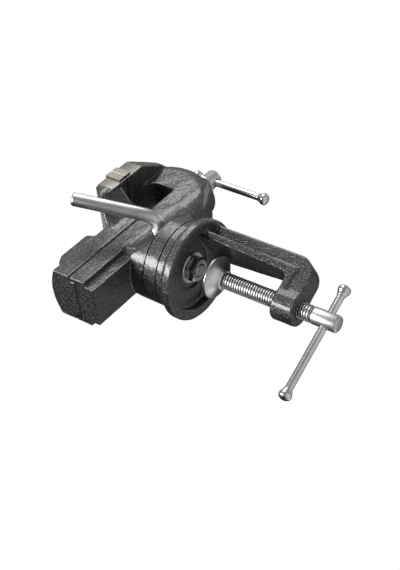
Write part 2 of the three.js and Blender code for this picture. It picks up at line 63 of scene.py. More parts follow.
SCREW_R, PITCH, THREAD_DEPTH = 6.0, 2.0, 0.85
HUB_TOP, HUB_LOW = -93.0, -113.0       # smooth end of the clamp screw
CLAMP_THREAD_TOP = -21.6
CLAMP_BAR_Z, CLAMP_BAR_TURN = -103.5, math.radians(3.7)
CLAMP_BAR_AXIS = (math.cos(CLAMP_BAR_TURN), math.sin(CLAMP_BAR_TURN), 0)
CLAMP_REACH = (23.5, -57.5)            # bar ends, measured along the bar
BAR_R, KNOB_R = 2.8, 4.6
PAD_R, PAD_TOP = 15.8, -12.2

REAR_X, BODY_HALF, KEEL_HALF = -69.6, 19.6, 15.7
WAY_Z = 59.9                           # sliding surface between body and sliding jaw
TONGUE_HALF, TONGUE_Z = 15.5, 55.5
HOLLOW_HALF, HOLLOW_REAR = 10.6, -63.0
CROWN_SIDE, CROWN_MID = 74.4, 79.5     # sliding jaw's back: height at its side and its middle
ANVIL_SIDE, ANVIL_MID = 80.2, 83.9     # the same for the anvil on it
JAW_X, JAW_HALF, JAW_LOW, JAW_TOP = 26.0, 35.5, 83.5, 98.0
PLATE_T, PLATE_HALF, PLATE_LOW = 6.0, 37.0, 85.2
PLATE_SCREWS, PLATE_SCREW_Z, PLATE_HOLE_R = (-22.0, 22.0), 91.0, 2.8
TRIM_AT, TRIM_HALF = 45.0, 9.6         # blocks that cut the ends of the jaws flat
THROAT_A, THROAT_B = 20.0, 49.5        # throat's walls on the sliding and the fixed side
TRENCH_END = 46.0
NOSE_X, NOSE_R = 83.6, 10.5
LEAD_Z, LEAD_TIP, LEAD_HUB_IN, LEAD_HUB_END = 60.5, -60.0, 88.0, 100.5
LEAD_THREAD_END = 45.0
RING_R = 9.5                           # thrust ring and collar on the lead screw
LEAD_BAR_X = 94.0
LEAD_REACH = (12.0, -50.0)

LOCK_END, LOCK_TIP = Vector((3, -32, 34)), Vector((-26.9, -48.4, 88.3))
LOCK_AXIS = Vector((0.273, -0.94, -0.202)).normalized()
LOCK_R, LOCK_BEND = 4.9, (10.5, 14.0)  # bend's reach toward the stud and the tip
STUD_R, STUD_THREAD_DEPTH, STUD_THREAD = 2.6, 0.4, (12.0, 21.2)
GAP = 0.3

KEY, LEFT, RIM, BEHIND, BELOW = 5.5, 16, 1.0, 0.8, 0.6   # watts
FLOOR_Z, FLOOR_HALF = -0.9, 4.0                          # metres

# ------------------------------------------------------------------ mesh helpers


def scratch(bm):
    """A scratch object from a filled bmesh, its faces turned outward."""
    bmesh.ops.recalc_face_normals(bm, faces=bm.faces)
    mesh = bpy.data.meshes.new("scratch")
    bm.to_mesh(mesh)
    bm.free()
    obj = bpy.data.objects.new("scratch", mesh)
    bpy.context.collection.objects.link(obj)
    return obj


def skin(rings):
    """Closed solid through rings of equal length."""
    bm = bmesh.new()
    loops = [[bm.verts.new(p) for p in ring] for ring in rings]
    n = len(loops[0])
    for a, b in zip(loops, loops[1:]):
        for i in range(n):
            j = (i + 1) % n
            bm.faces.new((a[i], a[j], b[j], b[i]))
    bm.faces.new(list(reversed(loops[0])))
    bm.faces.new(loops[-1])
    return scratch(bm)


def aimed(at, axis):
    """Placing that takes +Z to an axis through a point."""
    turn = Vector((0, 0, 1)).rotation_difference(Vector(axis).normalized())
    return Matrix.Translation(at) @ turn.to_matrix().to_4x4()


def turned(profile, sides=96, at=(0, 0, 0), axis=(0, 0, 1)):
    """Solid of revolution from (radius, height) points, both ends on the axis."""
    m = aimed(at, axis)
    step = 2 * math.pi / sides
    bm = bmesh.new()
    rings = []
    for r, h in profile:
        count = sides if r > 1e-6 else 1
        rings.append([bm.verts.new(m @ Vector((r * math.cos(step * k), r * math.sin(step * k), h)))
                      for k in range(count)])
    for a, b in zip(rings, rings[1:]):
        for i in range(sides):
            j = (i + 1) % sides
            corners = [a[i % len(a)], a[j % len(a)], b[j % len(b)], b[i % len(b)]]
            face = [v for k, v in enumerate(corners) if v not in corners[:k]]
            if len(face) > 2:
                bm.faces.new(face)
    return scratch(bm)


def rod(radius, lo, hi, at=(0, 0, 0), axis=(0, 0, 1), sides=64):
    return turned([(0, lo), (radius, lo), (radius, hi), (0, hi)], sides, at, axis)


def washer(r_out, r_in, lo, hi, at=(0, 0, 0), axis=(0, 0, 1), soft=0.25):
    """Flat ring with eased edges."""
    ring = turned([(0, lo), (r_out - soft, lo), (r_out, lo + soft), (r_out, hi - soft),
                   (r_out - soft, hi), (0, hi)], 96, at, axis)
    return less(ring, rod(r_in, lo - 2, hi + 2, at, axis, 96))


def pulled(pts, lo, hi, plane="XZ"):
    """Outline in a plane pulled along the axis left over."""
    put = {"XY": lambda u, v, w: (u, v, w), "XZ": lambda u, v, w: (u, w, v),
           "YZ": lambda u, v, w: (w, u, v)}[plane]
    return skin([[put(u, v, lo) for u, v in pts], [put(u, v, hi) for u, v in pts]])


def brick(x0, x1, y0, y1, z0, z1):
    return pulled([(x0, y0), (x1, y0), (x1, y1), (x0, y1)], z0, z1, "XY")


def ring_at(x0, x1, half, r, z, steps):
    """Rounded rectangle at a height."""
    cx, hx = (x0 + x1) / 2, (x1 - x0) / 2
    r = min(r, hx, half)
    pts = []
    for sx, sy, start in ((1, 1, 0), (-1, 1, 90), (-1, -1, 180), (1, -1, 270)):
        for i in range(steps + 1):
            a = math.radians(start + 90 * i / steps)
            pts.append(Vector((cx + sx * (hx - r) + r * math.cos(a),
                               sy * (half - r) + r * math.sin(a), z)))
    return pts


def eased(stations, between):
    """More stations along a smooth curve through the given ones."""
    out, n = [], len(stations)
    for i in range(n - 1):
        near = [stations[max(i - 1, 0)], stations[i], stations[i + 1], stations[min(i + 2, n - 1)]]
        for k in range(between):
            t = k / between
            out.append(tuple(0.5 * (2 * b + (c - a) * t + (2 * a - 5 * b + 4 * c - d) * t * t
                                    + (3 * b - a - 3 * c + d) * t ** 3)
                             for a, b, c, d in zip(*near)))
    return out + [tuple(stations[-1])]


def lofted(stations, between=4, steps=8):
    """Rounded rectangles (x0, x1, half width, corner, z), eased between."""
    return skin([ring_at(*s, steps=steps) for s in eased(stations, between)])


def arc(cx, cz, r, a0, a1, n=12):
    return [(cx + r * math.cos(math.radians(a0 + (a1 - a0) * i / n)),
             cz + r * math.sin(math.radians(a0 + (a1 - a0) * i / n))) for i in range(n + 1)]


def bake(obj):
    """The object's modifiers applied to its mesh."""
    dg = bpy.context.evaluated_depsgraph_get()
    mesh = bpy.data.meshes.new_from_object(obj.evaluated_get(dg))
    obj.modifiers.clear()
    old = obj.data
    obj.data = mesh
    bpy.data.meshes.remove(old)


def combine(operation, obj, tools):
    for tool in tools:
        m = obj.modifiers.new("combine", "BOOLEAN")
        m.operation, m.solver, m.object = operation, "MANIFOLD", tool
        bake(obj)
        bpy.data.objects.remove(tool)
    return obj


def fuse(obj, *tools):
    return combine("UNION", obj, tools)


def less(obj, *tools):
    return combine("DIFFERENCE", obj, tools)


def meet(obj, *tools):
    return combine("INTERSECT", obj, tools)


def soften(obj, voxel=0.6, rounds=6, uneven=0.12):
    """Sand-cast look: edges melted round, and faces that are never quite flat."""
    m = obj.modifiers.new("fuse", "REMESH")
    m.mode, m.voxel_size, m.adaptivity = "VOXEL", voxel, 0
    m = obj.modifiers.new("melt", "SMOOTH")
    m.factor, m.iterations = 0.5, rounds
    bake(obj)
    verts = obj.data.vertices
    moves = [v.normal * uneven * (noise.noise(v.co / 9) + 0.5 * noise.noise(v.co / 2.6)) for v in verts]
    for v, move in zip(verts, moves):
        v.co += move
    return obj


def shade(obj, angle):
    mesh = obj.data
    mesh.polygons.foreach_set("use_smooth", [True] * len(mesh.polygons))
    mesh.set_sharp_from_angle(angle=math.radians(angle))


def piece(name, obj, body, nodes, materials, place=None, angle=40, second=None):
    """Name a finished solid, turn it to metres, hang it under its body and hide the parts it stands in
    for.

    second picks the faces that take the second material, from their centre and normal.
    """
    obj.name = obj.data.name = name
    obj.data.materials.clear()
    for face in obj.data.polygons:
        face.material_index = 1 if second and second(face.center, face.normal) else 0
    obj.data.transform(Matrix.Scale(MM, 4))
    if place is not None:
        obj.data.transform(place)
    shade(obj, angle)
    for mat in materials:
        obj.data.materials.append(mat)
    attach(obj, body)
    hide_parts(*nodes)
    return obj


# ------------------------------------------------------------------ materials


def material(name):
    m = bpy.data.materials.new(name)
    m.use_nodes = True
    nodes, links = m.node_tree.nodes, m.node_tree.links
    return m, nodes, links, nodes["Principled BSDF"]


def node(nodes, kind, **inputs):
    n = nodes.new("ShaderNode" + kind)
    for k, v in inputs.items():
        if k in n.inputs:
            n.inputs[k].default_value = v
        else:
            setattr(n, k, v)
    return n


def ramp(nodes, stops):
    n = nodes.new("ShaderNodeValToRGB")
    e = n.color_ramp.elements
    while len(e) < len(stops):
        e.new(0.5)
    for el, (p, c) in zip(e, stops):
        el.position = p
        el.color = (*c, 1) if isinstance(c, tuple) else (c, c, c, 1)
    return n


def bumps(nodes, links, bsdf, layers):
    """Stack of (height socket, strength, distance) bumps into the shader's normal."""
    last = None
    for height, strength, distance in layers:
        b = node(nodes, "Bump", Strength=strength, Distance=distance)
        links.new(height, b.inputs["Height"])
        if last:
            links.new(last, b.inputs["Normal"])
        last = b.outputs["Normal"]
    links.new(last, bsdf.inputs["Normal"])


def hammered_paint():
    """Dark grey hammered enamel: fine dimples over sand-cast iron."""
    m, nodes, links, bsdf = material("hammered_paint")
    tc = node(nodes, "TexCoord")
    dimple = node(nodes, "TexVoronoi", Scale=880.0, feature="SMOOTH_F1", Smoothness=0.3)
    fleck = node(nodes, "TexNoise", Scale=900.0, Detail=2.0, Roughness=0.6)
    roll = node(nodes, "TexNoise", Scale=130.0, Detail=4.0, Roughness=0.6)
    for t in (dimple, fleck, roll):
        links.new(tc.outputs["Object"], t.inputs["Vector"])
    both = node(nodes, "Math", operation="MULTIPLY_ADD")
    both.inputs[1].default_value = 0.55
    links.new(dimple.outputs["Distance"], both.inputs[0])
    half = node(nodes, "Math", operation="MULTIPLY")
    half.inputs[1].default_value = 0.5
    links.new(fleck.outputs["Fac"], half.inputs[0])
    links.new(half.outputs[0], both.inputs[2])
    tone = ramp(nodes, [(0.37, 0.001), (0.44, 0.005), (0.52, 0.016), (0.64, 0.065)])
    links.new(both.outputs[0], tone.inputs["Fac"])
    links.new(tone.outputs["Color"], bsdf.inputs["Base Color"])
    rough = ramp(nodes, [(0.3, 0.45), (0.7, 0.3)])
    links.new(both.outputs[0], rough.inputs["Fac"])
    links.new(rough.outputs["Color"], bsdf.inputs["Roughness"])
    bsdf.inputs["Metallic"].default_value = 0.15
    bsdf.inputs["Coat Weight"].default_value = 0.75
    bsdf.inputs["Coat Roughness"].default_value = 0.2
    bumps(nodes, links, bsdf, [(roll.outputs["Fac"], 0.5, 0.0004),
                               (dimple.outputs["Distance"], 1.0, 0.0005),
                               (fleck.outputs["Fac"], 0.8, 0.0003)])
    return m


def steel(name, tone, rough, stretch=(1, 1, 1), scale=900.0, grain=0.04):
    """Bare or plated steel with tool marks; stretch draws the marks out along an axis."""
    m, nodes, links, bsdf = material(name)
    tc = node(nodes, "TexCoord")
    along = node(nodes, "Mapping", Scale=stretch)
    links.new(tc.outputs["Object"], along.inputs["Vector"])
    fine = node(nodes, "TexNoise", Scale=scale, Detail=4.0, Roughness=0.6)
    wide = node(nodes, "TexNoise", Scale=90.0, Detail=4.0, Roughness=0.6)
    links.new(along.outputs["Vector"], fine.inputs["Vector"])
    links.new(tc.outputs["Object"], wide.inputs["Vector"])
    tint = ramp(nodes, [(0.3, tuple(c * 0.8 for c in tone)), (0.7, tone)])
    links.new(wide.outputs["Fac"], tint.inputs["Fac"])
    links.new(tint.outputs["Color"], bsdf.inputs["Base Color"])
    r = node(nodes, "MapRange", **{"To Min": rough * 0.9, "To Max": rough * 1.15})
    links.new(fine.outputs["Fac"], r.inputs["Value"])
    links.new(r.outputs["Result"], bsdf.inputs["Roughness"])
    bsdf.inputs["Metallic"].default_value = 1.0
    bumps(nodes, links, bsdf, [(fine.outputs["Fac"], grain, 0.0002),
                               (wide.outputs["Fac"], grain, 0.0003)])
    return m


# ------------------------------------------------------------------ camera, light, floor


def studio():
    scene = bpy.context.scene
    cam = bpy.data.objects.new("camera", bpy.data.cameras.new("camera"))
    scene.collection.objects.link(cam)
    right, up, back = (Vector((0.47712, 0.36091, -0.80131)), Vector((0.85184, -0.41417, 0.32066)),
                       Vector((-0.21615, -0.83558, -0.50505)))
    cam.matrix_world = Matrix.Translation((-0.1837, -0.6722, -0.4110)) @ Matrix(
        (right, up, back)).transposed().to_4x4()
    cam.data.lens = 72.57
    cam.data.sensor_width = 36
    cam.data.clip_start, cam.data.clip_end = 0.01, 50
    scene.camera = cam

    world = bpy.data.worlds.new("studio")
    scene.world = world
    world.use_nodes = True
    nodes, links = world.node_tree.nodes, world.node_tree.links
    bg = nodes["Background"]
    tc = node(nodes, "TexCoord")
    dot = node(nodes, "VectorMath", operation="DOT_PRODUCT")
    dot.inputs[1].default_value = (0.64, -0.50, 0.58)
    links.new(tc.outputs["Generated"], dot.inputs[0])
    sky = ramp(nodes, [(0.0, 0.01), (0.35, 0.03), (0.6, 0.11), (0.9, 0.42)])
    rng = node(nodes, "MapRange", **{"From Min": -1.0, "From Max": 1.0})
    links.new(dot.outputs["Value"], rng.inputs["Value"])
    links.new(rng.outputs["Result"], sky.inputs["Fac"])
    ray = node(nodes, "LightPath")
    mix = node(nodes, "Mix", data_type="RGBA")
    links.new(ray.outputs["Is Camera Ray"], mix.inputs["Factor"])
    links.new(sky.outputs["Color"], mix.inputs[6])
    mix.inputs[7].default_value = (1, 1, 1, 1)
    links.new(mix.outputs[2], bg.inputs["Color"])
    scene.view_settings.view_transform = "Standard"

    def area(name, seen, size, power):
        """Soft box a metre or so away; seen is its direction as right, up and toward the viewer."""
        at = right * seen[0] + up * seen[1] + back * seen[2]
        data = bpy.data.lights.new(name, "AREA")
        data.shape, data.size, data.size_y, data.energy = "RECTANGLE", size[0], size[1], power
        lamp = bpy.data.objects.new(name, data)
        scene.collection.objects.link(lamp)
        lamp.location = at
        lamp.rotation_mode = "QUATERNION"
        lamp.rotation_quaternion = (-at).to_track_quat("-Z", "Y")

    area("key", (-0.2, 1.0, 0.05), (0.8, 0.35), KEY)
    area("left", (-1.0, -0.04, 0.4), (0.35, 0.7), LEFT)
    area("rim", (0.75, 0.55, -0.6), (0.5, 0.5), RIM)
    area("behind", (-0.3, 0.2, -1.1), (0.8, 0.8), BEHIND)
    area("below", (0.5, -0.9, -0.2), (0.5, 0.4), BELOW)

    floor = brick(-FLOOR_HALF, FLOOR_HALF, -FLOOR_HALF, FLOOR_HALF, FLOOR_Z - 0.01, FLOOR_Z)
    floor.name = "floor"
    m, nodes, links, bsdf = material("pale_floor")
    bsdf.inputs["Base Color"].default_value = (0.88, 0.88, 0.87, 1)
    bsdf.inputs["Roughness"].default_value = 0.7
    floor.data.materials.append(m)


# ------------------------------------------------------------------ screws, bars and small parts


def groove(phase):
    """Depth of a thread, 0 on the crest and 1 at the root, over one pitch."""
    t = 1 - abs(2 * (phase % 1.0) - 1)
    t = min(max((t - 0.3) / 0.4, 0.0), 1.0)
    return t * t * (3 - 2 * t)


def threaded(before, lo, hi, after, radius, depth, at=(0, 0, 0), axis=(0, 0, 1), sides=48,
             per_turn=12):
    """Rod with a right-hand thread from lo to hi between plain (radius, height) runs."""
    m = aimed(at, axis)

    def loop(h, radius_at):
        out = []
        for k in range(sides):
            a = 2 * math.pi * k / sides
            r = radius_at(k / sides)
            out.append(m @ Vector((r * math.cos(a), r * math.sin(a), h)))
        return out

    rings = [loop(h, lambda _, r=r: r) for r, h in before]
    steps = int(round((hi - lo) / PITCH * per_turn))
    for i in range(steps + 1):
        h = lo + (hi - lo) * i / steps
        fade = min(1.0, (h - lo) / 1.2, (hi - h) / 1.2)
        rings.append(loop(h, lambda turn, h=h, fade=fade: radius - depth * max(
            groove(h / PITCH - turn), 0.75 * (1 - fade))))
    rings += [loop(h, lambda _, r=r: r) for r, h in after]
    return skin(rings)


def thread_root_painted_shade(radius, depth, lo, hi, at=(0, 0, 0), axis=(0, 0, 1)):
    """Test for faces down in a thread; these take a darker steel that is painted shade in the thread's
    roots.
    """
    back = aimed(at, axis).inverted()

    def test(centre, _):
        spot = back @ centre
        return lo < spot.z < hi and math.hypot(spot.x, spot.y) < radius - 0.5 * depth

    return test


def knob_profile(reach):
    """Upset end of a tommy bar: a flare, a short rim and a low dome, out along the bar."""
    shape = [(0, -4.0), (BAR_R + 0.3, -4.0), (BAR_R + 0.45, -3.7), (3.4, -3.0), (3.8, -2.0), (4.3, -1.0),
             (4.55, -0.5), (KNOB_R, 0), (KNOB_R, 1.3), (4.4, 1.9), (3.9, 2.6), (3.1, 3.2), (2.1, 3.7),
             (1.1, 4.0), (0, 4.1)]
    sign = 1 if reach > 0 else -1
    run = [(r, reach + sign * h) for r, h in shape]
    return run if sign > 0 else list(reversed(run))


def tommy_bar(name, body, at, axis, reach, place=None):
    """Sliding bar with a knob at each end."""
    ends = sorted(reach)
    lo, hi = ends[0] + 2.5, ends[1] - 2.5
    bar = turned([(0, lo), (BAR_R, lo), (BAR_R, lo + 3), (BAR_R - 0.05, 0), (BAR_R, hi - 3), (BAR_R, hi),
                  (0, hi)], 64, at, axis)
    piece(name + "_rod", bar, body, [name], [BRIGHT], place)
    for k, end in enumerate(reach):
        knob = turned(knob_profile(end), 64, at, axis)
        sign = 1 if end > 0 else -1
        socket = sorted((end - sign * 2.45, end - sign * 8))
        knob = less(knob, rod(BAR_R + 0.02, *socket, at, axis))
        piece(f"{name}_end_{k + 1}", knob, body, [f"{name}_knob_{k + 1}"], [BRIGHT],
              place, 50)


def clamp_screw():
    hub = [(2.0, HUB_LOW + 0.05), (3.6, HUB_LOW + 0.12), (SCREW_R - 0.9, HUB_LOW + 0.45),
           (SCREW_R - 0.25, HUB_LOW + 1.0), (SCREW_R + 0.1, HUB_LOW + 1.9),
           (SCREW_R + 0.1, HUB_TOP - 1.2), (SCREW_R - 0.1, HUB_TOP - 0.5)]
    ball = [(4.6, -21.3), (3.4, -20.9), (3.4, -19.2), (4.1, -18.6), (4.4, -17.4), (4.1, -16.3),
            (3.2, -15.5), (1.5, -15.2)]
    shank = threaded(hub, HUB_TOP, CLAMP_THREAD_TOP, ball, SCREW_R, THREAD_DEPTH)
    shank = less(shank, rod(BAR_R + GAP, -20, 20, (0, 0, CLAMP_BAR_Z), CLAMP_BAR_AXIS))
    piece("clamp_screw_threaded", shank, "clamp_screw", ["clamp_screw"], [THREAD, PAINTED_ROOT_SHADE],
          None, 35, thread_root_painted_shade(SCREW_R, THREAD_DEPTH, HUB_TOP, CLAMP_THREAD_TOP))


def clamp_pad():
    shell = turned([(0, PAD_TOP), (PAD_R - 1.0, PAD_TOP), (PAD_R - 0.35, PAD_TOP - 0.2),
                    (PAD_R, PAD_TOP - 0.8), (PAD_R, PAD_TOP - 1.6), (PAD_R - 0.35, PAD_TOP - 2.2),
                    (PAD_R - 1.2, PAD_TOP - 2.5), (13.6, -15.2), (12.0, -16.1), (10.4, -17.2),
                    (9.0, -18.4), (8.0, -19.7), (7.5, -20.6), (7.0, -21.0), (0, -21.0)], 128)
    hollow = turned([(0, -25), (3.8, -25), (3.8, -19.4), (4.7, -18.8), (4.9, -16.8), (3.8, -15.1),
                     (0, -14.8)], 64)
    piece("clamp_pad_dished", less(shell, hollow), "pad", ["clamp_pad"], [SATIN])


def lead_screw():
    at, axis = (0, 0, LEAD_Z), (1, 0, 0)
    hub = [(SCREW_R - 0.1, 45.6), (SCREW_R, 46), (SCREW_R, NOSE_X + 2), (7.9, NOSE_X + 2.05),
           (8.2, NOSE_X + 2.4), (8.2, LEAD_HUB_IN - 1), (7.9, LEAD_HUB_IN - 0.6), (6.8, LEAD_HUB_IN),
           (SCREW_R + 0.6, LEAD_HUB_IN + 0.4), (SCREW_R + 0.6, LEAD_HUB_END - 1.6),
           (SCREW_R + 0.25, LEAD_HUB_END - 0.7), (SCREW_R - 0.5, LEAD_HUB_END - 0.15),
           (3.5, LEAD_HUB_END)]
    shaft = threaded([(2.0, LEAD_TIP), (4.2, LEAD_TIP)], LEAD_TIP + 0.6, LEAD_THREAD_END, hub,
                     SCREW_R, THREAD_DEPTH, at, axis)
    shaft = less(shaft, rod(BAR_R + GAP, -20, 20, (LEAD_BAR_X, 0, LEAD_Z)))
    piece("lead_screw_threaded", shaft, "lead_screw", ["lead_screw"], [THREAD, PAINTED_ROOT_SHADE],
          HEAD, 35, thread_root_painted_shade(SCREW_R, THREAD_DEPTH, LEAD_TIP, LEAD_THREAD_END, at, axis))
    thrust = washer(RING_R, SCREW_R + 0.15, NOSE_X + GAP, NOSE_X + 1.7, at, axis)
    piece("lead_thrust_ring", thrust, "head", ["lead_thrust_washer"], [BRIGHT], HEAD)
    collar = washer(RING_R, SCREW_R + 0.15, TRENCH_END - 5.3, TRENCH_END - GAP, at, axis, 0.5)
    piece("lead_collar_ring", collar, "lead_screw", ["lead_retaining_collar"], [DARK],
          HEAD)
    nut = brick(-2, 16, -HOLLOW_HALF + GAP, HOLLOW_HALF - GAP, 50.2, 71.6)
    m = nut.modifiers.new("edges", "BEVEL")
    m.width, m.segments = 0.6, 3
    bake(nut)
    nut = less(nut, rod(SCREW_R + GAP, -4, 18, at, axis))
    piece("lead_nut_block", nut, "slider", ["lead_nut"], [DARK], HEAD)


def swivel_fastening():
    head = [(BOLT_R, 12.6), (BOLT_R, 31), (BOLT_HEAD_R, 31), (BOLT_HEAD_R, 36), (8.6, 36.7), (8, 37),
            (3, 37)]
    bolt = threaded([(2.0, 0.35), (BOLT_R - 1.2, 0.4)], *BOLT_THREAD, head, BOLT_R, BOLT_THREAD_DEPTH)
    piece("swivel_bolt_threaded", bolt, "base", ["swivel_bolt"], [THREAD, PAINTED_ROOT_SHADE],
          None, 35, thread_root_painted_shade(BOLT_R, BOLT_THREAD_DEPTH, *BOLT_THREAD))
    corners = [(NUT_CORNER_R * math.cos(math.radians(60 * k)),
                NUT_CORNER_R * math.sin(math.radians(60 * k))) for k in range(6)]
    crown = turned([(0, 1), (7.9, 1), (8.6, 1.3), (9.7, 2.1), (9.7, 6.0), (9.0, 6.6), (8.3, 6.9),
                    (0, 6.9)], 96)
    nut = less(meet(pulled(corners, 1, 6.9, "XY"), crown), rod(BOLT_R + 0.15, 0, 8))
    piece("swivel_nut_hex", nut, "base", ["swivel_nut"], [NUT], None, 15)
    piece("swivel_washer_ring", washer(WASHER_R, BOLT_R + GAP, 7.2, 8.7), "base",
          ["swivel_washer"], [BRIGHT])


def lock_handle():
    """Bent rod with a threaded stud into the turntable."""
    leg = (LOCK_TIP - LOCK_END).normalized()
    side = LOCK_AXIS.cross(leg).normalized()
    a, b = LOCK_END - LOCK_AXIS * LOCK_BEND[0], LOCK_END + leg * LOCK_BEND[1]
    stations = [(a - LOCK_AXIS * 0.6, LOCK_AXIS, 3.6), (a - LOCK_AXIS * 0.5, LOCK_AXIS, 3.9),
                (a, LOCK_AXIS, LOCK_R)]
    for i in range(1, 24):
        t = i / 24
        at = a * (1 - t) ** 2 + LOCK_END * 2 * t * (1 - t) + b * t * t
        along = ((LOCK_END - a) * (1 - t) + (b - LOCK_END) * t).normalized()
        stations.append((at, along, LOCK_R))
    stations.append((b, leg, LOCK_R))
    # Rounded tip, as (distance from the end, drop of the radius).
    for back, drop in ((1.5, 0), (1.05, 0.12), (0.5, 0.5), (0.12, 1.05), (0, 1.7)):
        stations.append((LOCK_TIP - leg * back, leg, LOCK_R - drop))
    rings = []
    for at, along, r in stations:
        up = along.cross(side).normalized()
        turns = [2 * math.pi * k / 48 for k in range(48)]
        rings.append([at + side * (r * math.cos(q)) + up * (r * math.sin(q)) for q in turns])
    stud = threaded([(STUD_R, 9.0)], *STUD_THREAD, [(STUD_R - 0.7, 21.9)], STUD_R, STUD_THREAD_DEPTH,
                    LOCK_END, -LOCK_AXIS, 32, 8)
    piece("lock_handle_rod", fuse(skin(rings), stud), "lock", ["lock_handle"],
          [SATIN, PAINTED_ROOT_SHADE], HEAD, 35,
          thread_root_painted_shade(STUD_R, STUD_THREAD_DEPTH, *STUD_THREAD, LOCK_END, -LOCK_AXIS))


# ------------------------------------------------------------------ clamp casting


def clamp_casting():
    # The profile starts on the axis over the recess, so its inside is the metal above the hollow.
    disc = turned([
        (0, 9.4), (13.5, 9.4), (15, 8.6), (15.6, 6.6), (17.5, 6.2), (27.5, 6.2), (RECESS_R, 5),
        (RECESS_R, 0.4), (RECESS_R + 0.4, 0), (36.4, 0), (37.2, 0.4), (DISC_R, 1.2), (DISC_R, 5.6),
        (37.0, 6.7), (35.8, 7.7), (34.4, 8.5), (COLLAR_R + 0.6, 8.9), (COLLAR_R - 0.2, DISC_TOP + 1),
        (0, DISC_TOP + 1)], 160)
    corner = arc(SPINE_OUT - ARM_BEND, ARM_LOW + ARM_BEND, ARM_BEND, 0, -90, 16)
    rib = pulled([(SPINE_IN, 4.5), (SPINE_OUT, 4.5), *corner, (0, ARM_LOW), (0, ARM_TOP),
                  (SPINE_IN - 3, ARM_TOP), (SPINE_IN, ARM_TOP + 3)], -SPINE_HALF, SPINE_HALF)
    flange_x = SPINE_IN + FLANGE_T
    widths = ((FLANGE_LOW_HALF, -72), (11.5, -62), (14.2, -45), (17, -28), (19.4, -12), (21, 0), (21, 5))
    flange = lofted([(SPINE_IN, flange_x, half, 1.2, z) for half, z in widths], 2, 3)
    ledge = pulled([(2, ARM_TOP), (SPINE_IN - 3, ARM_TOP), (SPINE_IN, ARM_TOP + 3),
                    (flange_x, ARM_TOP + 3), (flange_x, ARM_TOP - 5), (2, ARM_TOP - 5)],
                   -FLANGE_LOW_HALF, FLANGE_LOW_HALF)
    boss = turned([(0, BOSS_LOW), (BOSS_R - 1.6, BOSS_LOW), (BOSS_R - 0.4, BOSS_LOW + 0.6),
                   (BOSS_R, BOSS_LOW + 1.8), (BOSS_R, BOSS_TOP - 1.4), (BOSS_R - 0.5, BOSS_TOP - 0.5),
                   (BOSS_R - 1.4, BOSS_TOP), (0, BOSS_TOP)], 96)
    web = meet(brick(20, 32, -19, 19, 1, 7), rod(RECESS_R + 1, 0, 8, sides=96))
    whole = soften(fuse(disc, rib, flange, ledge, boss, web), 0.6, 5)
    top = less(rod(60, DISC_TOP, 40), rod(SPIGOT_R, 0, 60, sides=128))
    screw_way = turned([(0, BOSS_LOW - 3), (SCREW_R + 2.4, BOSS_LOW - 1),
                        (SCREW_R + GAP, BOSS_LOW + 1.2), (SCREW_R + GAP, BOSS_TOP - 1.2),
                        (SCREW_R + 2.4, BOSS_TOP + 1), (0, BOSS_TOP + 3)])
    whole = less(whole, top, screw_way)
    spigot = turned([(0, 8), (SPIGOT_R, 8), (SPIGOT_R, SPIGOT_TOP - 0.6), (SPIGOT_R - 0.6, SPIGOT_TOP),
                     (0, SPIGOT_TOP)], 128)
    whole = fuse(whole, less(spigot, rod(5, 0, 7)))
    whole = less(whole, rod(BOLT_R + GAP, -5, 30))
    piece("clamp_casting", whole, "base", ["clamp_frame"], [PAINT], None, 50)


# ------------------------------------------------------------------ head casting


def plate_screw_holes(x, side):
    return [rod(PLATE_HOLE_R, -2, 9, (x, y, PLATE_SCREW_Z), (side, 0, 0), 32) for y in PLATE_SCREWS]


def end_trims(x0, x1):
    """Blocks that cut both ends of a jaw flat."""
    return [brick(x0, x1, s * TRIM_AT - TRIM_HALF, s * TRIM_AT + TRIM_HALF, 70, 120) for s in (-1, 1)]


def machined(c, n):
    """Test for the ground ends and top of the jaws."""
    end = abs(n.y) > 0.97 and abs(c.y) > JAW_HALF - 0.3
    top = n.z > 0.97 and c.z > JAW_TOP - 0.3
    return c.z > JAW_LOW - 0.2 and 10 < c.x < 44 and (end or top)


